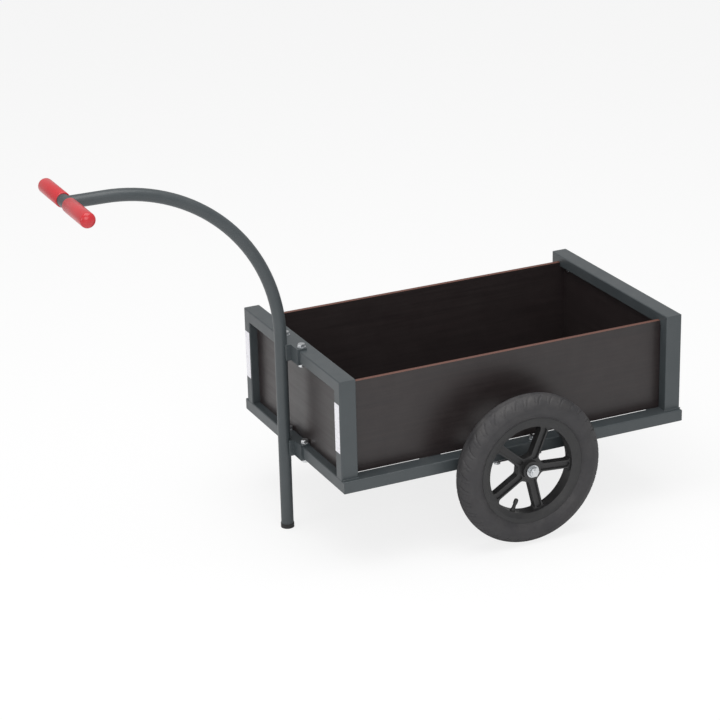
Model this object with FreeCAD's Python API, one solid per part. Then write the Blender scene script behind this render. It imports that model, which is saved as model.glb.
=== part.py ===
import FreeCAD, Part
import math
import os
from FreeCAD import Vector

# A two-wheeled hand cart: a welded steel frame, a plywood box and a tubular
# drawbar that is also its parking foot. Millimetres. +X points forward to the
# handle, +Y to the left, +Z up. The origin is on the floor, under the middle.

# Base frame and end frames, all of one rectangular tube
frame_length = 756.0
frame_width = 482.0
frame_height = 228.0
tube_wide = 35.0
tube_thin = 25.0
tube_wall = 2.0
tube_corner = 2.5
cross_member_spacing = 330.0
cross_member_size = 25.0

# Plywood box
panel_thickness = 9.0
floor_thickness = 9.0
end_panel_set_in = 17.0
side_panel_drop = 15.0

# Axle and the straps that hold it under the side rails
axle_diameter = 16.0
spindle_diameter = 12.0
spindle_clearance = 0.06
hub_side_clearance = 0.5
strap_thickness = 4.0
strap_width = 24.0
strap_length = 106.0
strap_set_in = 2.0
washer_diameter = 26.0
washer_thickness = 2.5
nut_across_flats = 18.0
nut_height = 7.0
spindle_stick_out = 1.5

# Wheels
tyre_diameter = 310.0
tyre_width = 53.0
bead_diameter = 203.0
tyre_to_frame = 13.0
rim_diameter = 220.0
rim_width = 36.0
flange_thickness = 2.0
barrel_bore = 182.0
barrel_width = 26.0
hub_diameter = 38.0
hub_length = 34.0
bush_wall = 2.0
spoke_count = 5
spoke_width = 17.0
spoke_thickness = 16.0
spoke_rib = 3.0
spoke_recess = 3.5
spoke_turn = 22.5
window_corner = 8.0
valve_diameter = 8.0
valve_length = 25.0

# Drawbar, its brackets and its handle
bar_diameter = 25.0
bar_wall = 2.0
bend_radius = 340.0
handle_reach = 433.0
handle_height = 749.0
bracket_thickness = 4.0
bracket_width = 96.0
bracket_clearance = 1.0
saddle_web = 2.0
saddle_wall = 3.0
saddle_depth = 9.0
handle_width = 254.0
grip_diameter = 30.0
grip_length = 109.0
grip_end = 4.0
plug_diameter = 27.0
plug_height = 9.0

# Places worked out from the sizes above
handle_front = handle_reach + grip_diameter / 2
front_x = (frame_length + handle_front) / 2 - handle_front
rear_x = front_x - frame_length
middle_x = (front_x + rear_x) / 2
half_width = frame_width / 2
inner_y = half_width - tube_wide
post_y = inner_y + tube_thin
axle_z = tyre_diameter / 2
base_z = axle_z + axle_diameter / 2
base_top = base_z + tube_thin
top_z = base_z + frame_height
rail_under = top_z - tube_thin
panel_inset = end_panel_set_in + panel_thickness
wheel_y = half_width + tyre_to_frame + tyre_width / 2
bar_x = front_x + bracket_thickness + saddle_web + bar_diameter / 2
handle_x = front_x + handle_reach
nodes = {}


def box(x_span, y_span, z_span):
    corner = Vector(x_span[0], y_span[0], z_span[0])
    size = [abs(span[1] - span[0]) for span in (x_span, y_span, z_span)]
    return Part.makeBox(size[0], size[1], size[2], corner)


def rod(diameter, start, end):
    along = end - start
    return Part.makeCylinder(diameter / 2, along.Length, start, along)


def pipe(diameter, bore, start, end):
    return rod(diameter, start, end).cut(rod(bore, start, end))


def prism(points, depth):
    outline = Part.makePolygon(points + [points[0]])
    return Part.Face(outline).extrude(depth)


def edges_along(shape, direction):
    chosen = []
    for edge in shape.Edges:
        if len(edge.Vertexes) == 2:
            run = edge.Vertexes[1].Point - edge.Vertexes[0].Point
            if run.cross(direction).Length < 0.001:
                chosen.append(edge)
    return chosen


def rectangular_tube(x_span, y_span, z_span, along):
    outer = box(x_span, y_span, z_span)
    outer = outer.makeFillet(tube_corner, edges_along(outer, along))
    inner_spans = []
    for span, share in zip((x_span, y_span, z_span), along):
        inset = 0.0 if share else tube_wall
        inner_spans.append((span[0] + inset, span[1] - inset))
    return outer.cut(box(*inner_spans))


def mirrored(shape):
    return shape.mirror(Vector(0, 0, 0), Vector(0, 1, 0))


def moved_to_rear(shape):
    return shape.mirror(Vector(middle_x, 0, 0), Vector(1, 0, 0))


def base_frame():
    z_span = (base_z, base_top)
    long_tube = rectangular_tube((rear_x, front_x), (inner_y, half_width), z_span, Vector(1, 0, 0))
    mitred_plan = [
        Vector(rear_x, half_width, base_z),
        Vector(front_x, half_width, base_z),
        Vector(front_x - tube_wide, inner_y, base_z),
        Vector(rear_x + tube_wide, inner_y, base_z),
    ]
    side_rail = long_tube.common(prism(mitred_plan, Vector(0, 0, tube_thin)))
    nodes["base_rail_left"] = side_rail
    nodes["base_rail_right"] = mirrored(side_rail)

    front_span = (front_x - tube_wide, front_x)
    short_tube = rectangular_tube(front_span, (-half_width, half_width), z_span, Vector(0, 1, 0))
    mitred_plan = [
        Vector(front_x, half_width, base_z),
        Vector(front_x, -half_width, base_z),
        Vector(front_x - tube_wide, -inner_y, base_z),
        Vector(front_x - tube_wide, inner_y, base_z),
    ]
    front_rail = short_tube.common(prism(mitred_plan, Vector(0, 0, tube_thin)))
    nodes["base_rail_front"] = front_rail
    nodes["base_rail_rear"] = moved_to_rear(front_rail)


def cross_members():
    for name, side in (("front", 1), ("rear", -1)):
        centre = middle_x + side * cross_member_spacing / 2
        x_span = (centre - cross_member_size / 2, centre + cross_member_size / 2)
        y_span = (-inner_y, inner_y)
        z_span = (base_top - cross_member_size, base_top)
        nodes["cross_member_" + name] = rectangular_tube(x_span, y_span, z_span, Vector(0, 1, 0))


def end_frames():
    x_span = (front_x - tube_wide, front_x)
    post = rectangular_tube(x_span, (inner_y, post_y), (base_top, top_z), Vector(0, 0, 1))
    mitred_side = [
        Vector(x_span[0], inner_y, base_top),
        Vector(x_span[0], post_y, base_top),
        Vector(x_span[0], post_y, top_z),
        Vector(x_span[0], inner_y, rail_under),
    ]
    post = post.common(prism(mitred_side, Vector(tube_wide, 0, 0)))
    nodes["post_front_left"] = post
    nodes["post_front_right"] = mirrored(post)
    nodes["post_rear_left"] = moved_to_rear(post)
    nodes["post_rear_right"] = mirrored(moved_to_rear(post))

    rail = rectangular_tube(x_span, (-post_y, post_y), (rail_under, top_z), Vector(0, 1, 0))
    mitred_front = [
        Vector(x_span[0], -post_y, top_z),
        Vector(x_span[0], post_y, top_z),
        Vector(x_span[0], inner_y, rail_under),
        Vector(x_span[0], -inner_y, rail_under),
    ]
    rail = rail.common(prism(mitred_front, Vector(tube_wide, 0, 0)))
    nodes["top_rail_front"] = rail
    nodes["top_rail_rear"] = moved_to_rear(rail)


def plywood_box():
    end_span = (front_x - panel_inset, front_x - end_panel_set_in)
    end_panel = box(end_span, (-inner_y, inner_y), (base_top, rail_under))
    nodes["front_panel"] = end_panel
    nodes["rear_panel"] = moved_to_rear(end_panel)

    panel_top = top_z - side_panel_drop
    long_span = (rear_x + panel_inset, front_x - panel_inset)
    side_panel = box(long_span, (inner_y - panel_thickness, inner_y), (base_top, panel_top))
    if panel_top > rail_under and panel_inset < tube_wide:
        notch_span = (front_x - tube_wide, front_x)
        notch = box(notch_span, (0, half_width), (rail_under, top_z))
        side_panel = side_panel.cut(notch).cut(moved_to_rear(notch))
    nodes["side_panel_left"] = side_panel
    nodes["side_panel_right"] = mirrored(side_panel)

    floor_y = inner_y - panel_thickness
    nodes["floor_panel"] = box(long_span, (-floor_y, floor_y), (base_top, base_top + floor_thickness))


def axle_and_fittings():
    hub_inner = wheel_y - hub_length / 2
    hub_outer = wheel_y + hub_length / 2
    shoulder = hub_inner - hub_side_clearance
    washer_start = hub_outer + hub_side_clearance
    nut_start = washer_start + washer_thickness
    nut_end = nut_start + nut_height
    spindle_end = nut_end + spindle_stick_out

    def at(y):
        return Vector(middle_x, y, axle_z)

    axle = rod(axle_diameter, at(-shoulder), at(shoulder))
    axle = axle.fuse(rod(spindle_diameter, at(-spindle_end), at(spindle_end))).removeSplitter()
    nodes["axle"] = axle

    washer = pipe(washer_diameter, spindle_diameter, at(washer_start), at(nut_start))
    nodes["hub_washer_left"] = washer
    nodes["hub_washer_right"] = mirrored(washer)

    corner_radius = nut_across_flats / 2 / math.cos(math.pi / 6)
    corners = []
    for step in range(6):
        turn = step * math.pi / 3
        corners.append(at(nut_start) + Vector(corner_radius * math.cos(turn), 0, corner_radius * math.sin(turn)))
    nut = prism(corners, Vector(0, nut_height, 0)).cut(rod(spindle_diameter, at(nut_start), at(nut_end)))
    nodes["hub_nut_left"] = nut
    nodes["hub_nut_right"] = mirrored(nut)

    outer_y = half_width - strap_set_in
    y_span = (outer_y - strap_width, outer_y)
    seat = rod(axle_diameter, at(y_span[0]), at(y_span[1]))
    wrap_diameter = axle_diameter + 2 * strap_thickness
    wrap = rod(wrap_diameter, at(y_span[0]), at(y_span[1]))
    wrap_span = (middle_x - wrap_diameter / 2, middle_x + wrap_diameter / 2)
    throat_span = (middle_x - axle_diameter / 2, middle_x + axle_diameter / 2)
    feet_span = (middle_x - strap_length / 2, middle_x + strap_length / 2)
    strap = wrap.fuse(box(wrap_span, y_span, (axle_z, base_z)))
    strap = strap.fuse(box(feet_span, y_span, (base_z - strap_thickness, base_z)))
    over = box(feet_span, y_span, (base_z, base_z + wrap_diameter))
    throat = box(throat_span, y_span, (axle_z, base_z))
    strap = strap.cut(seat).cut(throat).cut(over).removeSplitter()
    nodes["axle_strap_left"] = strap
    nodes["axle_strap_right"] = mirrored(strap)


def ring(profile):
    # A wheel part from its half section: (distance across the wheel, radius)
    points = [Vector(middle_x, wheel_y + across, axle_z + radius) for across, radius in profile]
    section = Part.Face(Part.makePolygon(points + [points[0]]))
    return section.revolve(Vector(middle_x, wheel_y, axle_z), Vector(0, 1, 0), 360)


def tyre():
    bead = bead_diameter / 2
    crown = tyre_diameter / 2
    seat = rim_width / 2 - flange_thickness
    flange = rim_diameter / 2
    bulge = tyre_width / 2
    shoulder = crown - bulge * 0.72

    def at(across, radius):
        return Vector(middle_x, wheel_y + across, axle_z + radius)

    edges = [
        Part.LineSegment(at(-seat, bead), at(seat, bead)).toShape(),
        Part.LineSegment(at(seat, bead), at(seat, flange)).toShape(),
        Part.Arc(at(seat, flange), at(bulge, (flange + shoulder) / 2), at(bulge * 0.95, shoulder)).toShape(),
        Part.Arc(at(bulge * 0.95, shoulder), at(0, crown), at(-bulge * 0.95, shoulder)).toShape(),
        Part.Arc(at(-bulge * 0.95, shoulder), at(-bulge, (flange + shoulder) / 2), at(-seat, flange)).toShape(),
        Part.LineSegment(at(-seat, flange), at(-seat, bead)).toShape(),
    ]
    section = Part.Face(Part.Wire(edges))
    return section.revolve(Vector(middle_x, wheel_y, axle_z), Vector(0, 1, 0), 360)


def rim_barrel():
    edge = rim_width / 2
    seat = edge - flange_thickness
    lip = rim_diameter / 2
    bead = bead_diameter / 2
    half = [(barrel_width / 2, barrel_bore / 2), (edge, bead), (edge, lip), (seat, lip), (seat, bead)]
    return ring(half + [(-across, radius) for across, radius in reversed(half)])


def window(half_gap, outer_radius, inner_radius, depth):
    # The opening between two spokes, in the wheel's own plane, about straight up
    half_turn = math.pi / spoke_count
    reach = half_gap / math.sin(half_turn)
    near_y = max(inner_radius, reach)
    near_x = max((near_y - reach) * math.tan(half_turn), 0.0)
    side = Vector(math.sin(half_turn), 0, math.cos(half_turn))
    across = Vector(math.cos(half_turn), 0, -math.sin(half_turn))
    run = math.sqrt(outer_radius ** 2 - half_gap ** 2)
    far_right = side * run - across * half_gap
    far_left = Vector(-far_right.x, 0, far_right.z)
    tip = Vector(0, 0, near_y)
    edges = []
    if near_x > 0.01:
        near_right = Vector(near_x, 0, near_y)
        near_left = Vector(-near_x, 0, near_y)
        edges.append(Part.LineSegment(near_left, near_right).toShape())
    else:
        near_right = tip
        near_left = tip
    edges.append(Part.LineSegment(near_right, far_right).toShape())
    edges.append(Part.Arc(far_right, Vector(0, 0, outer_radius), far_left).toShape())
    edges.append(Part.LineSegment(far_left, near_left).toShape())
    opening = Part.Face(Part.Wire(edges)).extrude(Vector(0, depth, 0))
    return opening.translated(Vector(0, -depth / 2, 0))


def rim():
    centre = Vector(middle_x, wheel_y, axle_z)
    half = spoke_thickness / 2
    web_radius = (barrel_bore / 2 + bead_diameter / 2) / 2
    web = rod(2 * web_radius, centre - Vector(0, half, 0), centre + Vector(0, half, 0))
    opening = window(spoke_width / 2, barrel_bore / 2, hub_diameter / 2 + window_corner, 2 * spoke_thickness)
    opening = opening.makeFillet(window_corner, edges_along(opening, Vector(0, 1, 0)))
    for step in range(spoke_count):
        turn = spoke_turn + 180.0 / spoke_count + step * 360.0 / spoke_count
        cutter = opening.rotated(Vector(0, 0, 0), Vector(0, 1, 0), -turn)
        web = web.cut(cutter.translated(centre))
    for step in range(spoke_count):
        turn = spoke_turn + step * 360.0 / spoke_count
        for side in (1, -1):
            web = web.cut(spoke_pocket(side).rotated(Vector(0, 0, 0), Vector(0, 1, 0), -turn).translated(centre))
    hub = rod(hub_diameter, centre - Vector(0, hub_length / 2, 0), centre + Vector(0, hub_length / 2, 0))
    body = web.fuse(hub).fuse(rim_barrel())
    bore = spindle_diameter + 2 * spindle_clearance + 2 * bush_wall
    bore_rod = rod(bore, centre - Vector(0, hub_length, 0), centre + Vector(0, hub_length, 0))
    return body.cut(bore_rod).removeSplitter()


def spoke_pocket(side):
    half = spoke_width / 2 - spoke_rib
    start = hub_diameter / 2 + spoke_rib
    end = barrel_bore / 2 - spoke_rib
    floor = spoke_thickness / 2 - spoke_recess
    depth = (floor, floor + spoke_thickness) if side > 0 else (-floor - spoke_thickness, -floor)
    pocket = box((-half, half), depth, (start, end))
    return pocket.makeFillet(half * 0.9, edges_along(pocket, Vector(0, 1, 0)))


def valve(barrel):
    turn = math.radians(spoke_turn + 180.0)
    outward = Vector(-math.sin(turn), 0, math.cos(turn))
    centre = Vector(middle_x, wheel_y, axle_z)
    seat = centre + outward * (barrel_bore + bead_diameter) / 4
    tip = centre + outward * (barrel_bore / 2 - valve_length)
    return rod(valve_diameter, tip, seat).cut(barrel)


def wheels():
    centre = Vector(middle_x, wheel_y, axle_z)
    bore = spindle_diameter + 2 * spindle_clearance
    half = Vector(0, hub_length / 2, 0)
    wheel = {
        "tyre": tyre(),
        "rim": rim(),
        "hub_bush": pipe(bore + 2 * bush_wall, bore, centre - half, centre + half),
        "valve": valve(rim_barrel()),
    }
    for name, shape in wheel.items():
        nodes[name + "_left"] = shape
        nodes[name + "_right"] = mirrored(shape)


def drawbar():
    bore = bar_diameter - 2 * bar_wall
    bend_start = handle_height - bend_radius
    foot = Vector(bar_x, 0, plug_height)
    low = Vector(bar_x, 0, bend_start)
    high = Vector(bar_x + bend_radius, 0, handle_height)
    end = Vector(handle_x, 0, handle_height)
    tube = Part.makeTorus(bend_radius, bar_diameter / 2, Vector(0, 0, 0), Vector(0, 0, 1), 0, 360, 90)
    hollow = Part.makeTorus(bend_radius, bore / 2, Vector(0, 0, 0), Vector(0, 0, 1), 0, 360, 90)
    bend = tube.cut(hollow)
    bend.rotate(Vector(0, 0, 0), Vector(1, 0, 0), 90)
    bend.rotate(Vector(0, 0, 0), Vector(0, 1, 0), -90)
    bend.translate(Vector(bar_x + bend_radius, 0, bend_start))
    tube = bend.fuse(pipe(bar_diameter, bore, foot, low)).fuse(pipe(bar_diameter, bore, high, end))
    crossbar = rod(bar_diameter, Vector(handle_x, -handle_width, handle_height), Vector(handle_x, handle_width, handle_height))
    nodes["drawbar"] = tube.cut(crossbar).removeSplitter()
    nodes["foot_plug"] = rod(plug_diameter, Vector(bar_x, 0, 0), foot)


def drawbar_brackets():
    flange = end_panel_set_in - bracket_clearance
    for name, under, top in (("upper", rail_under, top_z), ("lower", base_z, base_top)):
        z_span = (under - bracket_thickness, top + bracket_thickness)
        y_span = (-bracket_width / 2, bracket_width / 2)
        outer = box((front_x - flange, front_x + bracket_thickness), y_span, z_span)
        channel = outer.cut(box((front_x - tube_wide, front_x), y_span, (under, top)))
        saddle_half = bar_diameter / 2 + saddle_wall
        saddle_span = (front_x, front_x + bracket_thickness + saddle_depth)
        saddle = box(saddle_span, (-saddle_half, saddle_half), z_span)
        tube = rod(bar_diameter, Vector(bar_x, 0, 0), Vector(bar_x, 0, top_z + bend_radius / 2))
        nodes["bracket_" + name] = channel.fuse(saddle).cut(tube).removeSplitter()


def handle():
    def at(y):
        return Vector(handle_x, y, handle_height)

    half = handle_width / 2 - grip_end
    bore = bar_diameter - 2 * bar_wall
    nodes["handle_bar"] = pipe(bar_diameter, bore, at(-half), at(half))
    grip = rod(grip_diameter, at(handle_width / 2 - grip_length), at(handle_width / 2))
    round_end = grip_end * 1.5
    outer_edge = [edge for edge in grip.Edges if edge.BoundBox.YMin > handle_width / 2 - 0.01]
    grip = grip.makeFillet(round_end, outer_edge)
    grip = grip.cut(rod(bar_diameter, at(0), at(half)))
    nodes["grip_left"] = grip
    nodes["grip_right"] = mirrored(grip)


base_frame()
cross_members()
end_frames()
plywood_box()
axle_and_fittings()
wheels()
drawbar()
drawbar_brackets()
handle()

os.makedirs("parts", exist_ok=True)
for name, shape in nodes.items():
    solids = shape.Solids
    print(name, len(solids), "solid", round(shape.Volume / 1000, 2), "cm3", shape.isValid())
    if len(solids) == 1:
        shape = solids[0]
    shape.exportStep("parts/" + name + ".step")
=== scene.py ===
# A two-wheeled hand cart: painted steel frame, film-faced plywood box, spoked
# plastic wheels with air tyres, and a curved drawbar with a red T-handle.
import bmesh
import bpy
import math
from mathutils import Matrix, Vector


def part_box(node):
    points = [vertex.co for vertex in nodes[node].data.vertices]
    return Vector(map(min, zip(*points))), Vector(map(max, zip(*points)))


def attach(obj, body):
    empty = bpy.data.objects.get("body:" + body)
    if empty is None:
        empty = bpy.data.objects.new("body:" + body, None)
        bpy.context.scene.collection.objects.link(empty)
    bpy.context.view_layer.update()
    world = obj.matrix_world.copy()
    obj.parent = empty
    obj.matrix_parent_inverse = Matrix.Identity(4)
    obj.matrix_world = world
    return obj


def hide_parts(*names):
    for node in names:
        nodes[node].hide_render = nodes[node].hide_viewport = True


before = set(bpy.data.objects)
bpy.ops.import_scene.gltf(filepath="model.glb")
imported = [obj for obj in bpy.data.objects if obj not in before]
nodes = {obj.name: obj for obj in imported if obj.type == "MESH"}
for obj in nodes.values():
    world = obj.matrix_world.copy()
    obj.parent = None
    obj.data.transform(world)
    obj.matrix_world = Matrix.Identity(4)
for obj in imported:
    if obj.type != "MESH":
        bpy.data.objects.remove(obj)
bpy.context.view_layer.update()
mm = 0.001
print("loaded", len(nodes), "frame parts")


def middleOf(node):
    low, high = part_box(node)
    return (low + high) / 2


# Shader helpers
def newGroup(name, inputs, outputs):
    group = bpy.data.node_groups.new(name, "ShaderNodeTree")
    for label, kind, value in inputs:
        socket = group.interface.new_socket(label, in_out="INPUT", socket_type=kind)
        if value is not None:
            socket.default_value = value
    for label, kind in outputs:
        group.interface.new_socket(label, in_out="OUTPUT", socket_type=kind)
    start = group.nodes.new("NodeGroupInput")
    end = group.nodes.new("NodeGroupOutput")
    return group, start, end


def addNode(tree, kind, values=None, **settings):
    node = tree.nodes.new(kind)
    for key, value in settings.items():
        setattr(node, key, value)
    for key, value in (values or {}).items():
        node.inputs[key].default_value = value
    return node


def mathNode(tree, operation, first, second=None, third=None):
    node = addNode(tree, "ShaderNodeMath", operation=operation)
    for slotIndex, value in enumerate((first, second, third)):
        if value is None:
            continue
        if isinstance(value, (int, float)):
            node.inputs[slotIndex].default_value = value
        else:
            tree.links.new(value, node.inputs[slotIndex])
    return node.outputs[0]


def mixColour(tree, factor, first, second, blend="MIX"):
    node = addNode(tree, "ShaderNodeMix", data_type="RGBA", blend_type=blend)
    for socket, value in ((node.inputs[0], factor), (node.inputs[6], first), (node.inputs[7], second)):
        if isinstance(value, (int, float, tuple)):
            socket.default_value = value
        else:
            tree.links.new(value, socket)
    return node.outputs[2]


def makeMottle():
    # soft uneven patches: colour and gloss never quite the same all over
    group, start, end = newGroup(
        "mottle",
        [("Vector", "NodeSocketVector", None), ("Patch Size", "NodeSocketFloat", 0.1),
         ("Colour", "NodeSocketColor", None), ("Other Colour", "NodeSocketColor", None),
         ("Gloss Low", "NodeSocketFloat", 0.4), ("Gloss High", "NodeSocketFloat", 0.5)],
        [("Colour", "NodeSocketColor"), ("Roughness", "NodeSocketFloat")])
    scale = mathNode(group, "DIVIDE", 1.0, start.outputs["Patch Size"])
    noise = addNode(group, "ShaderNodeTexNoise", {"Detail": 4.0, "Roughness": 0.6})
    group.links.new(start.outputs["Vector"], noise.inputs["Vector"])
    group.links.new(scale, noise.inputs["Scale"])
    spread = addNode(group, "ShaderNodeMapRange", {"From Min": 0.35, "From Max": 0.65})
    group.links.new(noise.outputs["Fac"], spread.inputs["Value"])
    group.links.new(mixColour(group, spread.outputs[0], start.outputs["Colour"], start.outputs["Other Colour"]),
                    end.inputs["Colour"])
    gloss = addNode(group, "ShaderNodeMapRange")
    group.links.new(spread.outputs[0], gloss.inputs["Value"])
    group.links.new(start.outputs["Gloss Low"], gloss.inputs["To Min"])
    group.links.new(start.outputs["Gloss High"], gloss.inputs["To Max"])
    group.links.new(gloss.outputs[0], end.inputs["Roughness"])
    return group


def makeFineGrain():
    # the small bumps of powder coat, moulded plastic and rubber
    group, start, end = newGroup(
        "fineGrain",
        [("Vector", "NodeSocketVector", None), ("Grain Size", "NodeSocketFloat", 0.002),
         ("Softness", "NodeSocketFloat", 0.5)],
        [("Height", "NodeSocketFloat")])
    scale = mathNode(group, "DIVIDE", 1.0, start.outputs["Grain Size"])
    noise = addNode(group, "ShaderNodeTexNoise", {"Detail": 2.0})
    group.links.new(start.outputs["Vector"], noise.inputs["Vector"])
    group.links.new(scale, noise.inputs["Scale"])
    group.links.new(start.outputs["Softness"], noise.inputs["Roughness"])
    group.links.new(noise.outputs["Fac"], end.inputs["Height"])
    return group


def makePaintedTopLight():
    # painted top light: a pale colour laid on in noise patches, strongest on what faces up
    group, start, end = newGroup(
        "paintedTopLight",
        [("Vector", "NodeSocketVector", None), ("Normal", "NodeSocketVector", None),
         ("Colour", "NodeSocketColor", None), ("Top Light Colour", "NodeSocketColor", (0.35, 0.33, 0.31, 1)),
         ("Amount", "NodeSocketFloat", 0.1)],
        [("Colour", "NodeSocketColor"), ("Mask", "NodeSocketFloat")])
    split = addNode(group, "ShaderNodeSeparateXYZ")
    group.links.new(start.outputs["Normal"], split.inputs[0])
    up = mathNode(group, "MAXIMUM", split.outputs["Z"], 0.0)
    noise = addNode(group, "ShaderNodeTexNoise", {"Scale": 28.0, "Detail": 6.0, "Roughness": 0.7})
    group.links.new(start.outputs["Vector"], noise.inputs["Vector"])
    patch = addNode(group, "ShaderNodeMapRange", {"From Min": 0.38, "From Max": 0.72})
    group.links.new(noise.outputs["Fac"], patch.inputs["Value"])
    # painted top light: up-facing share 0.7 on top of 0.3 everywhere, times the noise patches
    topLightShare = mathNode(group, "MULTIPLY_ADD", up, 0.7, 0.3)
    mask = mathNode(group, "MULTIPLY", mathNode(group, "MULTIPLY", patch.outputs[0], topLightShare), start.outputs["Amount"])
    group.links.new(mixColour(group, mask, start.outputs["Colour"], start.outputs["Top Light Colour"]), end.inputs["Colour"])
    group.links.new(mask, end.inputs["Mask"])
    return group


mottle = makeMottle()
fineGrain = makeFineGrain()
paintedTopLight = makePaintedTopLight()


def placeGroup(tree, group, links=None, values=None):
    node = tree.nodes.new("ShaderNodeGroup")
    node.node_tree = group
    for key, value in (values or {}).items():
        node.inputs[key].default_value = value
    for key, source in (links or {}).items():
        tree.links.new(source, node.inputs[key])
    return node


def finishMaterial(name, look):
    # the common build: mottled colour, a little painted top light, fine grain in the surface
    material = bpy.data.materials.new(name)
    material.use_nodes = True
    tree = material.node_tree
    shader = tree.nodes["Principled BSDF"]
    where = addNode(tree, "ShaderNodeTexCoord").outputs["Object"]
    facing = addNode(tree, "ShaderNodeNewGeometry").outputs["Normal"]
    patches = placeGroup(tree, mottle, {"Vector": where}, {
        "Patch Size": look["patch"], "Colour": (*look["colour"], 1), "Other Colour": (*look["other"], 1),
        "Gloss Low": look["rough"][0], "Gloss High": look["rough"][1]})
    # painted top light: the pale colour laid onto faces that point up
    topLit = placeGroup(tree, paintedTopLight, {"Vector": where, "Normal": facing, "Colour": patches.outputs["Colour"]},
                      {"Amount": look.get("paintedTopLight", 0.0)})
    grain = placeGroup(tree, fineGrain, {"Vector": where}, {"Grain Size": look["grain"]})
    bump = addNode(tree, "ShaderNodeBump", {"Strength": look["bump"], "Distance": look["grain"] * 0.5})
    tree.links.new(grain.outputs["Height"], bump.inputs["Height"])
    tree.links.new(topLit.outputs["Colour"], shader.inputs["Base Color"])
    tree.links.new(patches.outputs["Roughness"], shader.inputs["Roughness"])
    tree.links.new(bump.outputs["Normal"], shader.inputs["Normal"])
    shader.inputs["Metallic"].default_value = look.get("metal", 0.0)
    shader.inputs["Coat Weight"].default_value = look.get("coat", 0.0)
    shader.inputs["Coat Roughness"].default_value = look.get("coatRough", 0.1)
    return material


# framePaint, wheelPlastic, tyreRubber and blackRubber carry an amount of painted top light
finishes = {
    "framePaint": {"colour": (0.046, 0.056, 0.061), "other": (0.054, 0.064, 0.069), "patch": 0.12,
                   "rough": (0.36, 0.46), "grain": 0.0016, "bump": 0.10, "paintedTopLight": 0.05},
    "zinc": {"colour": (0.68, 0.69, 0.70), "other": (0.56, 0.58, 0.60), "patch": 0.02, "rough": (0.22, 0.38),
             "grain": 0.001, "bump": 0.05, "metal": 1.0},
    "wheelPlastic": {"colour": (0.013, 0.013, 0.014), "other": (0.018, 0.018, 0.019), "patch": 0.05,
                     "rough": (0.38, 0.5), "grain": 0.0009, "bump": 0.12, "paintedTopLight": 0.06},
    "tyreRubber": {"colour": (0.022, 0.021, 0.023), "other": (0.031, 0.030, 0.033), "patch": 0.06,
                   "rough": (0.55, 0.7), "grain": 0.0012, "bump": 0.15, "paintedTopLight": 0.12},
    "blackRubber": {"colour": (0.012, 0.012, 0.013), "other": (0.018, 0.018, 0.018), "patch": 0.03,
                    "rough": (0.5, 0.65), "grain": 0.001, "bump": 0.12, "paintedTopLight": 0.08},
    "redVinyl": {"colour": (0.50, 0.012, 0.020), "other": (0.55, 0.018, 0.026), "patch": 0.05,
                 "rough": (0.28, 0.36), "grain": 0.0009, "bump": 0.05, "coat": 0.3, "coatRough": 0.2},
    "reflector": {"colour": (0.78, 0.77, 0.82), "other": (0.84, 0.83, 0.88), "patch": 0.01,
                  "rough": (0.25, 0.32), "grain": 0.0015, "bump": 0.2, "coat": 0.5},
}
materials = {name: finishMaterial(name, look) for name, look in finishes.items()}

plywoodLook = {"face": (0.016, 0.012, 0.0125), "faceWarm": (0.026, 0.019, 0.019), "edge": (0.150, 0.060, 0.042),
               "glueLine": (0.060, 0.024, 0.018), "grainLength": 0.20, "grainWidth": 0.006, "plies": 7}


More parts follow.
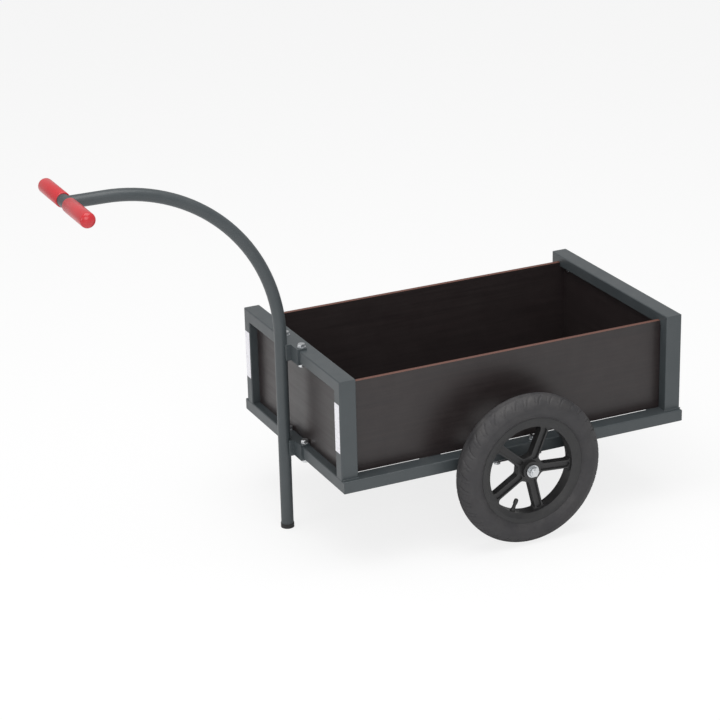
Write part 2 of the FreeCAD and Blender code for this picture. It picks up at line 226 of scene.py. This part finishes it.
def plywoodMaterial(name, mainAxis, thicknessLow, thickness):
    # dark film over plywood, with the ruddy core showing on every sawn edge
    material = bpy.data.materials.new(name)
    material.use_nodes = True
    tree = material.node_tree
    shader = tree.nodes["Principled BSDF"]
    where = addNode(tree, "ShaderNodeTexCoord").outputs["Object"]
    facing = addNode(tree, "ShaderNodeNewGeometry").outputs["Normal"]
    along = [1 / plywoodLook["grainLength"], 1 / plywoodLook["grainLength"], 1 / plywoodLook["grainWidth"]]
    stretch = addNode(tree, "ShaderNodeMapping", {"Scale": along})
    tree.links.new(where, stretch.inputs["Vector"])
    streak = addNode(tree, "ShaderNodeTexNoise", {"Scale": 1.0, "Detail": 5.0, "Roughness": 0.65, "Distortion": 0.4})
    tree.links.new(stretch.outputs[0], streak.inputs["Vector"])
    streakSpread = addNode(tree, "ShaderNodeMapRange", {"From Min": 0.3, "From Max": 0.7})
    tree.links.new(streak.outputs["Fac"], streakSpread.inputs["Value"])
    face = mixColour(tree, streakSpread.outputs[0], (*plywoodLook["face"], 1), (*plywoodLook["faceWarm"], 1))
    # painted top light on the film face, as on the other finishes
    topLit = placeGroup(tree, paintedTopLight, {"Vector": where, "Normal": facing, "Colour": face}, {"Amount": 0.05})

    splitNormal = addNode(tree, "ShaderNodeSeparateXYZ")
    tree.links.new(facing, splitNormal.inputs[0])
    faceOn = mathNode(tree, "ABSOLUTE", splitNormal.outputs[mainAxis])
    edgeMask = mathNode(tree, "LESS_THAN", faceOn, 0.5)
    splitPlace = addNode(tree, "ShaderNodeSeparateXYZ")
    tree.links.new(where, splitPlace.inputs[0])
    depth = mathNode(tree, "DIVIDE", mathNode(tree, "SUBTRACT", splitPlace.outputs[mainAxis], thicknessLow), thickness)
    ply = mathNode(tree, "FRACT", mathNode(tree, "MULTIPLY", depth, float(plywoodLook["plies"])))
    line = mathNode(tree, "LESS_THAN", ply, 0.25)
    edge = mixColour(tree, line, (*plywoodLook["edge"], 1), (*plywoodLook["glueLine"], 1))
    colour = mixColour(tree, edgeMask, topLit.outputs["Colour"], edge)
    tree.links.new(colour, shader.inputs["Base Color"])
    rough = addNode(tree, "ShaderNodeMapRange", {"To Min": 0.30, "To Max": 0.42})
    tree.links.new(streakSpread.outputs[0], rough.inputs["Value"])
    tree.links.new(mathNode(tree, "MULTIPLY_ADD", edgeMask, 0.3, rough.outputs[0]), shader.inputs["Roughness"])
    bump = addNode(tree, "ShaderNodeBump", {"Strength": 0.12, "Distance": 0.0006})
    tree.links.new(streak.outputs["Fac"], bump.inputs["Height"])
    tree.links.new(bump.outputs["Normal"], shader.inputs["Normal"])
    return material


print("materials made")


# Mesh helpers
def setMaterial(node, material):
    obj = nodes[node]
    if not obj.material_slots:
        obj.data.materials.append(material)
    for materialSlot in obj.material_slots:
        materialSlot.material = material


def newPiece(name, mesh, material, body, smooth=True):
    piece = bpy.data.objects.new(name, mesh)
    bpy.context.scene.collection.objects.link(piece)
    mesh.materials.clear()
    mesh.materials.append(material)
    for face in mesh.polygons:
        face.use_smooth = smooth
    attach(piece, body)
    return piece


def lathe(name, profile, steps, place):
    # profile: (distance along the axis, radius); the axis is local Z
    points = []
    faces = []
    for along, radius in profile:
        for step in range(steps):
            turn = 2 * math.pi * step / steps
            points.append(place @ Vector((radius * math.cos(turn), radius * math.sin(turn), along)))
    for ringIndex in range(len(profile) - 1):
        for step in range(steps):
            after = (step + 1) % steps
            low = ringIndex * steps
            high = low + steps
            faces.append((low + step, low + after, high + after, high + step))
    mesh = bpy.data.meshes.new(name)
    mesh.from_pydata(points, [], faces)
    tidyMesh(mesh)
    return mesh


def tidyMesh(mesh):
    # merge doubles, close poles and point every face outwards
    work = bmesh.new()
    work.from_mesh(mesh)
    bmesh.ops.remove_doubles(work, verts=work.verts, dist=1e-6)
    bmesh.ops.recalc_face_normals(work, faces=work.faces)
    work.to_mesh(mesh)
    work.free()


def smoothByAngle(piece, degrees=35):
    piece.data.set_sharp_from_angle(angle=math.radians(degrees))


# The frame's own parts
paintedParts = [name for name in nodes if name.startswith(("base_rail", "cross_member", "post_", "top_rail", "bracket_"))]
for name in paintedParts + ["drawbar", "handle_bar"]:
    setMaterial(name, materials["framePaint"])
for name in nodes:
    if name.startswith(("hub_washer", "hub_nut", "hub_bush", "axle")):
        setMaterial(name, materials["zinc"])
    if name.startswith("rim"):
        setMaterial(name, materials["wheelPlastic"])
setMaterial("foot_plug", materials["blackRubber"])
for name in ("side_panel_left", "side_panel_right", "front_panel", "rear_panel", "floor_panel"):
    low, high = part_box(name)
    size = high - low
    axis = min(range(3), key=lambda index: size[index])
    setMaterial(name, plywoodMaterial("plywood_" + name, "XYZ"[axis], low[axis], size[axis]))
print("frame parts finished")


# Tyres
tyre = {"turns": 720, "crownSteps": 64, "grooveCount": 36, "grooveWidth": 2.4 * mm, "grooveDepth": 1.5 * mm,
        "sweep": 16 * mm, "grooveStart": 5 * mm, "grooveEnd": 31 * mm, "centreGroove": 2.2 * mm,
        "ringWidth": 1.1 * mm, "ringHeight": 0.5 * mm}


def smoothStep(value):
    value = max(0.0, min(1.0, value))
    return value * value * (3 - 2 * value)


def treadDepth(arc, lap, pitch):
    # arc: distance from the crown line, lap: distance round the tyre
    side = abs(arc)
    centre = 1 - smoothStep((side - tyre["centreGroove"] / 2) / (1.0 * mm))
    reach = (side - tyre["grooveStart"]) / (tyre["grooveEnd"] - tyre["grooveStart"])
    if reach < 0 or reach > 1:
        return centre
    shift = tyre["sweep"] * math.sin(reach * math.pi / 2) + (pitch / 2 if arc < 0 else 0)
    width = tyre["grooveWidth"] * (1 - 0.45 * reach)
    near = abs((lap - shift + pitch / 2) % pitch - pitch / 2)
    fade = smoothStep((1 - reach) * 5)
    groove = (1 - smoothStep((near - width / 2) / (0.8 * mm))) * fade
    half = (lap - shift * 0.6) % pitch
    sipe = 0.0
    if 0.25 < reach < 0.8:
        sipe = 0.7 * (1 - smoothStep((abs(half - pitch / 2) - 0.4 * mm) / (0.7 * mm)))
    return max(centre, groove, sipe)


def makeTyre(side):
    low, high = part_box("tyre_" + side)
    centre = (low + high) / 2
    crown = (high.z - low.z) / 2
    rimLow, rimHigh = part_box("rim_" + side)
    rimEdge = (rimHigh.z - rimLow.z) / 2
    beadHalf = (rimHigh.y - rimLow.y) / 2 - 2 * mm
    halfWidth = 26.5 * mm
    halfHeight = (crown - (rimEdge - 6 * mm)) / 2
    ringRadius = crown - halfHeight
    pitch = 2 * math.pi * crown / tyre["grooveCount"]
    reach = math.acos(-0.93)
    profile = []
    arc = 0.0
    last = None
    for step in range(tyre["crownSteps"] // 2 + 1):
        angle = reach * step / (tyre["crownSteps"] // 2)
        across = halfWidth * math.sin(angle) ** 0.96 if angle > 0 else 0.0
        radius = ringRadius + halfHeight * math.cos(angle)
        if last:
            arc += math.dist((across, radius), last)
        last = (across, radius)
        profile.append((across, radius, arc))
    half = [point for point in profile if point[0] > beadHalf * 0.99 or point[1] > ringRadius]
    whole = [(-across, radius, -arc) for across, radius, arc in reversed(half[1:])] + half
    innerRadius = rimEdge - 7 * mm
    whole = [(-beadHalf, innerRadius, -1.0)] + whole + [(beadHalf, innerRadius, 1.0)]
    points = []
    for turnStep in range(tyre["turns"]):
        turn = 2 * math.pi * turnStep / tyre["turns"]
        lap = turn * crown
        for across, radius, arc in whole:
            lift = 0.0
            if abs(arc) < 0.9:
                lift = -treadDepth(arc, lap, pitch) * tyre["grooveDepth"]
                for ringAt in (36 * mm, 44 * mm, 49 * mm):
                    lift += tyre["ringHeight"] * (1 - smoothStep(abs(abs(arc) - ringAt) / tyre["ringWidth"]))
            outward = Vector((across, radius - ringRadius)).normalized() if abs(arc) < 0.9 else Vector((0, 0))
            place = radius + outward.y * lift
            points.append((centre.x + place * math.sin(turn), centre.y + across + outward.x * lift,
                           centre.z + place * math.cos(turn)))
    faces = []
    count = len(whole)
    for turnStep in range(tyre["turns"]):
        here = turnStep * count
        there = (turnStep + 1) % tyre["turns"] * count
        for index in range(count):
            after = (index + 1) % count
            faces.append((here + index, there + index, there + after, here + after))
    mesh = bpy.data.meshes.new("tyre_tread_" + side)
    mesh.from_pydata(points, [], faces)
    tidyMesh(mesh)
    piece = newPiece("tyre_tread_" + side, mesh, materials["tyreRubber"], "wheel_" + side)
    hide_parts("tyre_" + side)


for side in ("left", "right"):
    makeTyre(side)
print("tyres made")


# Grips
grip = {"radius": 15 * mm, "dome": 9 * mm, "collar": 1.2 * mm, "steps": 48}


def makeGrip(side, direction):
    low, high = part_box("grip_" + side)
    length = high.y - low.y
    profile = [(0, 12.6 * mm), (0, grip["radius"] - 1.5 * mm), (0.6 * mm, grip["radius"] - 0.5 * mm),
               (1.6 * mm, grip["radius"])]
    for step in range(13):
        angle = math.pi / 2 * step / 12
        profile.append((length - grip["dome"] + grip["dome"] * math.sin(angle), grip["radius"] * math.cos(angle)))
    start = low.y if direction > 0 else high.y
    place = Matrix.Translation(((low.x + high.x) / 2, start, (low.z + high.z) / 2))
    place = place @ Matrix.Rotation(-direction * math.pi / 2, 4, "X")
    piece = newPiece("grip_sleeve_" + side, lathe("grip_sleeve_" + side, profile, grip["steps"], place),
                     materials["redVinyl"], "cart")
    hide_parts("grip_" + side)


makeGrip("left", 1)
makeGrip("right", -1)


# Valves
valve = {"stem": 3.2 * mm, "cap": 4.4 * mm, "capLength": 11 * mm}


def makeValve(side):
    low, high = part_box("valve_" + side)
    wheel = middleOf("rim_" + side)
    outward = ((low + high) / 2 - wheel).normalized()
    outward.y = 0
    rimLow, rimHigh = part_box("rim_" + side)
    seat = 91 * mm
    tip = seat - 25 * mm
    cap = valve["cap"]
    profile = [(seat, 0), (seat, 6 * mm), (seat - 2 * mm, 5.4 * mm), (seat - 4 * mm, valve["stem"] + 0.8 * mm),
               (tip + valve["capLength"], valve["stem"]), (tip + valve["capLength"], cap), (tip + 3 * mm, cap),
               (tip + 1 * mm, cap * 0.8), (tip, cap * 0.45), (tip, 0)]
    turn = outward.to_track_quat("Z", "Y").to_matrix().to_4x4()
    place = Matrix.Translation(wheel) @ turn
    piece = newPiece("valve_stem_" + side, lathe("valve_stem_" + side, profile, 20, place),
                     materials["blackRubber"], "wheel_" + side)
    smoothByAngle(piece)
    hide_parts("valve_" + side)


for side in ("left", "right"):
    makeValve(side)
print("grips and valves made")


# Fasteners by Geometry Nodes
def makeFastenerTree():
    tree = bpy.data.node_groups.new("fasteners", "GeometryNodeTree")
    face = tree.interface
    face.new_socket("Points", in_out="INPUT", socket_type="NodeSocketGeometry")
    for label, value in (("Head Radius", 0.0075), ("Head Height", 0.0055), ("Washer Radius", 0.009),
                         ("Washer Height", 0.0015)):
        face.new_socket(label, in_out="INPUT", socket_type="NodeSocketFloat").default_value = value
    face.new_socket("Head Sides", in_out="INPUT", socket_type="NodeSocketInt").default_value = 6
    face.new_socket("Turn", in_out="INPUT", socket_type="NodeSocketVector")
    face.new_socket("Material", in_out="INPUT", socket_type="NodeSocketMaterial")
    face.new_socket("Geometry", in_out="OUTPUT", socket_type="NodeSocketGeometry")
    start = tree.nodes.new("NodeGroupInput")
    end = tree.nodes.new("NodeGroupOutput")
    link = tree.links.new

    def disc(radius, height, lift, sides=None):
        shape = addNode(tree, "GeometryNodeMeshCylinder", {"Vertices": 28})
        link(radius, shape.inputs["Radius"])
        link(height, shape.inputs["Depth"])
        if sides:
            link(sides, shape.inputs["Vertices"])
        move = tree.nodes.new("GeometryNodeTransform")
        join = addNode(tree, "ShaderNodeCombineXYZ")
        link(lift, join.inputs["Z"])
        link(shape.outputs["Mesh"], move.inputs["Geometry"])
        link(join.outputs[0], move.inputs["Translation"])
        return move.outputs["Geometry"]

    washerHeight = start.outputs["Washer Height"]
    headHeight = start.outputs["Head Height"]
    washer = disc(start.outputs["Washer Radius"], washerHeight, mathNode(tree, "MULTIPLY", washerHeight, 0.5))
    headLift = mathNode(tree, "MULTIPLY_ADD", headHeight, 0.5, washerHeight)
    head = disc(start.outputs["Head Radius"], headHeight, headLift, start.outputs["Head Sides"])
    chamferRadius = mathNode(tree, "MULTIPLY", start.outputs["Head Radius"], 0.84)
    chamferHeight = mathNode(tree, "MULTIPLY", headHeight, 0.1)
    chamferLift = mathNode(tree, "MULTIPLY_ADD", headHeight, 1.05, washerHeight)
    crown = disc(chamferRadius, chamferHeight, chamferLift)
    joined = tree.nodes.new("GeometryNodeJoinGeometry")
    for shape in (washer, head, crown):
        link(shape, joined.inputs[0])
    onPoints = tree.nodes.new("GeometryNodeInstanceOnPoints")
    link(start.outputs["Points"], onPoints.inputs["Points"])
    link(joined.outputs[0], onPoints.inputs["Instance"])
    toRotation = tree.nodes.new("FunctionNodeEulerToRotation")
    link(start.outputs["Turn"], toRotation.inputs[0])
    link(toRotation.outputs[0], onPoints.inputs["Rotation"])
    realize = tree.nodes.new("GeometryNodeRealizeInstances")
    link(onPoints.outputs[0], realize.inputs[0])
    coat = tree.nodes.new("GeometryNodeSetMaterial")
    link(realize.outputs[0], coat.inputs["Geometry"])
    link(start.outputs["Material"], coat.inputs["Material"])
    link(coat.outputs[0], end.inputs[0])
    return tree


def setInput(modifier, label, value):
    for item in modifier.node_group.interface.items_tree:
        if item.in_out == "INPUT" and item.name == label:
            modifier[item.identifier] = value


def bakeNodes(name, start, tree, values, body, smoothAngle=30):
    source = bpy.data.objects.new(name + "_source", start)
    bpy.context.scene.collection.objects.link(source)
    modifier = source.modifiers.new("nodes", "NODES")
    modifier.node_group = tree
    for label, value in values.items():
        setInput(modifier, label, value)
    evaluated = source.evaluated_get(bpy.context.evaluated_depsgraph_get())
    mesh = bpy.data.meshes.new_from_object(evaluated)
    mesh.name = name
    source.modifiers.clear()
    bpy.data.objects.remove(source)
    piece = newPiece(name, mesh, values["Material"], body)
    smoothByAngle(piece, smoothAngle)
    return piece


def pointsMesh(name, places):
    mesh = bpy.data.meshes.new(name + "_points")
    mesh.from_pydata([tuple(place) for place in places], [], [])
    return mesh


fastenerTree = makeFastenerTree()
bolt = {"headRadius": 7.5 * mm, "headHeight": 5.3 * mm, "washerRadius": 8.5 * mm, "washerHeight": 1.5 * mm,
        "bracketSpan": 38 * mm, "bracketDepth": 9 * mm, "strapSpan": 40 * mm, "strapInset": 14 * mm}
up = (0.0, 0.0, 0.0)
down = (math.pi, 0.0, 0.0)
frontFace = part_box("base_rail_front")[1].x
axle = middleOf("axle")


def boltValues(turn):
    return {"Head Radius": bolt["headRadius"], "Head Height": bolt["headHeight"],
            "Washer Radius": bolt["washerRadius"], "Washer Height": bolt["washerHeight"],
            "Turn": turn, "Material": materials["zinc"]}


topPlaces = []
underPlaces = []
for bracket in ("bracket_upper", "bracket_lower"):
    low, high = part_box(bracket)
    for sideways in (bolt["bracketSpan"], -bolt["bracketSpan"]):
        topPlaces.append((frontFace - bolt["bracketDepth"], sideways, high.z))
        underPlaces.append((frontFace - bolt["bracketDepth"], sideways, low.z))
for side, sign in (("left", 1), ("right", -1)):
    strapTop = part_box("base_rail_" + side)[1].z
    for shift in (bolt["strapSpan"], -bolt["strapSpan"]):
        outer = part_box("base_rail_left")[1].y - bolt["strapInset"]
        topPlaces.append((axle.x + shift, sign * outer, strapTop))
        underPlaces.append((axle.x + shift, sign * outer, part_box("base_rail_left")[0].z - 4 * mm))
bakeNodes("frame_bolts", pointsMesh("frame_bolts", topPlaces), fastenerTree, boltValues(up), "cart")
bakeNodes("frame_nuts", pointsMesh("frame_nuts", underPlaces), fastenerTree, boltValues(down), "cart")

screw = {"headRadius": 3.6 * mm, "headHeight": 1.2 * mm, "down": 24 * mm, "inset": 18 * mm}
for panel, direction in (("rear_panel", 1), ("front_panel", -1)):
    low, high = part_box(panel)
    surface = high.x if direction > 0 else low.x
    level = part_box("top_rail_rear")[1].z - screw["down"]
    inset = screw["inset"] + 9 * mm
    places = [(surface, low.y + inset, level - 6 * mm), (surface, high.y - inset, level - 6 * mm)]
    bakeNodes(panel + "_screws", pointsMesh(panel, places), fastenerTree, {
        "Head Radius": screw["headRadius"], "Head Height": screw["headHeight"], "Head Sides": 24,
        "Washer Radius": screw["headRadius"] * 1.15, "Washer Height": 0.5 * mm,
        "Turn": (0.0, direction * math.pi / 2, 0.0), "Material": materials["zinc"]}, "cart")
print("bolts and screws made")


# Weld beads by Geometry Nodes
def makeWeldTree():
    tree = bpy.data.node_groups.new("weldBeads", "GeometryNodeTree")
    face = tree.interface
    face.new_socket("Path", in_out="INPUT", socket_type="NodeSocketGeometry")
    for label, value in (("Bead Radius", 0.0024), ("Ripple Spacing", 0.0016), ("Unevenness", 0.2)):
        face.new_socket(label, in_out="INPUT", socket_type="NodeSocketFloat").default_value = value
    face.new_socket("Seed", in_out="INPUT", socket_type="NodeSocketInt").default_value = 4
    face.new_socket("Material", in_out="INPUT", socket_type="NodeSocketMaterial")
    face.new_socket("Geometry", in_out="OUTPUT", socket_type="NodeSocketGeometry")
    start = tree.nodes.new("NodeGroupInput")
    end = tree.nodes.new("NodeGroupOutput")
    link = tree.links.new
    curve = tree.nodes.new("GeometryNodeMeshToCurve")
    link(start.outputs["Path"], curve.inputs["Mesh"])
    steps = tree.nodes.new("GeometryNodeResampleCurve")
    steps.mode = "LENGTH"
    link(curve.outputs[0], steps.inputs["Curve"])
    link(start.outputs["Ripple Spacing"], steps.inputs["Length"])
    drop = addNode(tree, "GeometryNodeMeshUVSphere", {"Segments": 10, "Rings": 6})
    link(start.outputs["Bead Radius"], drop.inputs["Radius"])
    chance = addNode(tree, "FunctionNodeRandomValue", data_type="FLOAT")
    link(mathNode(tree, "SUBTRACT", 1.0, start.outputs["Unevenness"]), chance.inputs[2])
    link(mathNode(tree, "ADD", 1.0, start.outputs["Unevenness"]), chance.inputs[3])
    link(start.outputs["Seed"], chance.inputs["Seed"])
    onPoints = tree.nodes.new("GeometryNodeInstanceOnPoints")
    link(steps.outputs[0], onPoints.inputs["Points"])
    link(drop.outputs["Mesh"], onPoints.inputs["Instance"])
    link(chance.outputs[1], onPoints.inputs["Scale"])
    realize = tree.nodes.new("GeometryNodeRealizeInstances")
    link(onPoints.outputs[0], realize.inputs[0])
    coat = tree.nodes.new("GeometryNodeSetMaterial")
    link(realize.outputs[0], coat.inputs["Geometry"])
    link(start.outputs["Material"], coat.inputs["Material"])
    link(coat.outputs[0], end.inputs[0])
    return tree


def pathMesh(name, runs):
    points = []
    edges = []
    for run in runs:
        for index, place in enumerate(run):
            if index:
                edges.append((len(points) - 1, len(points)))
            points.append(tuple(place))
    mesh = bpy.data.meshes.new(name + "_path")
    mesh.from_pydata(points, edges, [])
    return mesh


weld = {"bead": 1.7 * mm, "spacing": 1.5 * mm, "unevenness": 0.18}
weldTree = makeWeldTree()
weldRuns = []
for corner in ("front_left", "front_right", "rear_left", "rear_right"):
    low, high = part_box("post_" + corner)
    outer = high.y if "left" in corner else low.y
    endFace = high.x if "front" in corner else low.x
    inFace = low.x if "front" in corner else high.x
    weldRuns.append([(endFace, outer, low.z), (inFace, outer, low.z)])
for name in ("cross_member_front", "cross_member_rear"):
    low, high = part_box(name)
    for y in (low.y, high.y):
        weldRuns.append([(low.x, y, low.z), (high.x, y, low.z)])
for name in ("bracket_upper", "bracket_lower"):
    low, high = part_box(name)
    bar = middleOf("foot_plug")
    for sign in (1, -1):
        weldRuns.append([(high.x, sign * 13.2 * mm, low.z + 2 * mm), (high.x, sign * 13.2 * mm, high.z - 2 * mm)])
bakeNodes("frame_welds", pathMesh("frame_welds", weldRuns), weldTree, {
    "Bead Radius": weld["bead"], "Ripple Spacing": weld["spacing"], "Unevenness": weld["unevenness"],
    "Material": materials["framePaint"]}, "cart", 180)
print("welds made")


# Reflectors and the drawbar's seam
reflector = {"width": 20 * mm, "height": 100 * mm, "thick": 0.5 * mm, "corner": 1.5 * mm, "fromTop": 48 * mm}


def roundedPlate(name, centre, width, height, thick, corner):
    work = bmesh.new()
    bmesh.ops.create_cube(work, size=1.0)
    for vertex in work.verts:
        vertex.co = Vector((vertex.co.x * thick, vertex.co.y * width, vertex.co.z * height))
    edges = [edge for edge in work.edges if abs(edge.verts[0].co.x - edge.verts[1].co.x) > thick / 2]
    bmesh.ops.bevel(work, geom=edges, offset=corner, segments=5, profile=0.5, affect="EDGES")
    for vertex in work.verts:
        vertex.co += centre
    mesh = bpy.data.meshes.new(name)
    work.to_mesh(mesh)
    work.free()
    return mesh


for side in ("left", "right"):
    low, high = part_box("post_front_" + side)
    inward = low.y if side == "left" else high.y
    sign = 1 if side == "left" else -1
    centre = Vector((high.x + reflector["thick"] / 2, inward + sign * (reflector["width"] / 2 + 1.5 * mm),
                     high.z - reflector["fromTop"] - reflector["height"] / 2))
    mesh = roundedPlate("reflector_" + side, centre, reflector["width"], reflector["height"],
                        reflector["thick"], reflector["corner"])
    newPiece("reflector_" + side, mesh, materials["reflector"], "cart", smooth=False)

seam = {"below": 18 * mm, "width": 1.2 * mm, "proud": 0.25 * mm}
bar = middleOf("foot_plug")
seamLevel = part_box("base_rail_front")[0].z - seam["below"]
barRadius = 12.5 * mm
seamProfile = [(-seam["width"] / 2, barRadius - 0.2 * mm), (-seam["width"] / 4, barRadius + seam["proud"]),
               (seam["width"] / 4, barRadius + seam["proud"]), (seam["width"] / 2, barRadius - 0.2 * mm)]
newPiece("drawbar_seam", lathe("drawbar_seam", seamProfile, 48, Matrix.Translation((bar.x, bar.y, seamLevel))),
         materials["framePaint"], "cart")
print("reflectors and seam made")


# Floor, light and camera
studio = {"floorSize": 60.0, "floorColour": (0.92, 0.92, 0.92, 1), "white": 1.0, "world": 0.55,
          "camera": (1.8567, 4.0143, 2.0782), "azimuth": 155.21, "elevation": 21.60, "roll": -1.46, "lens": 119.37}


def makeFloor():
    half = studio["floorSize"] / 2
    mesh = bpy.data.meshes.new("floor")
    mesh.from_pydata([(-half, -half, 0), (half, -half, 0), (half, half, 0), (-half, half, 0)], [], [(0, 1, 2, 3)])
    floor = bpy.data.objects.new("floor", mesh)
    bpy.context.scene.collection.objects.link(floor)
    material = bpy.data.materials.new("paleFloor")
    material.use_nodes = True
    tree = material.node_tree
    shader = tree.nodes["Principled BSDF"]
    shader.inputs["Base Color"].default_value = studio["floorColour"]
    shader.inputs["Roughness"].default_value = 0.8
    glow = addNode(tree, "ShaderNodeEmission", {"Strength": studio["white"]})
    path = tree.nodes.new("ShaderNodeLightPath")
    share = mathNode(tree, "MULTIPLY", path.outputs["Is Camera Ray"], 0.8)
    mix = tree.nodes.new("ShaderNodeMixShader")
    tree.links.new(share, mix.inputs[0])
    tree.links.new(shader.outputs[0], mix.inputs[1])
    tree.links.new(glow.outputs[0], mix.inputs[2])
    tree.links.new(mix.outputs[0], tree.nodes["Material Output"].inputs["Surface"])
    mesh.materials.append(material)


def makeWorld():
    world = bpy.data.worlds.new("studio")
    bpy.context.scene.world = world
    world.use_nodes = True
    tree = world.node_tree
    plain = tree.nodes["Background"]
    plain.inputs["Color"].default_value = (1, 1, 1, 1)
    plain.inputs["Strength"].default_value = studio["world"]
    white = addNode(tree, "ShaderNodeBackground", {"Strength": studio["white"]})
    path = tree.nodes.new("ShaderNodeLightPath")
    mix = tree.nodes.new("ShaderNodeMixShader")
    tree.links.new(path.outputs["Is Camera Ray"], mix.inputs[0])
    tree.links.new(plain.outputs[0], mix.inputs[1])
    tree.links.new(white.outputs[0], mix.inputs[2])
    tree.links.new(mix.outputs[0], tree.nodes["World Output"].inputs["Surface"])


def makeLamp(name, place, target, size, power):
    light = bpy.data.lights.new(name, "AREA")
    light.shape = "RECTANGLE"
    light.size, light.size_y = size
    light.energy = power
    lamp = bpy.data.objects.new(name, light)
    bpy.context.scene.collection.objects.link(lamp)
    lamp.location = place
    lamp.rotation_euler = (Vector(place) - Vector(target)).to_track_quat("Z", "Y").to_euler()


makeFloor()
makeWorld()
makeLamp("overhead", (0.2, 0.4, 3.4), (-0.1, 0, 0.3), (3.2, 2.4), 70)
makeLamp("cameraSide", (1.2, 4.0, 2.2), (-0.1, 0, 0.3), (2.4, 1.8), 45)
makeLamp("handleSide", (4.0, 0.6, 1.6), (0, 0, 0.3), (1.8, 1.6), 18)

camera = bpy.data.objects.new("camera", bpy.data.cameras.new("camera"))
bpy.context.scene.collection.objects.link(camera)
camera.data.lens = studio["lens"]
camera.data.sensor_width = 36
camera.data.clip_end = 100
facing = Matrix.Rotation(math.radians(studio["azimuth"]), 4, "Z")
tilt = Matrix.Rotation(math.radians(90 - studio["elevation"]), 4, "X")
roll = Matrix.Rotation(math.radians(studio["roll"]), 4, "Z")
camera.matrix_world = Matrix.Translation(studio["camera"]) @ facing @ tilt @ roll
bpy.context.scene.camera = camera
bpy.context.scene.view_settings.view_transform = "Standard"
print("stage set")
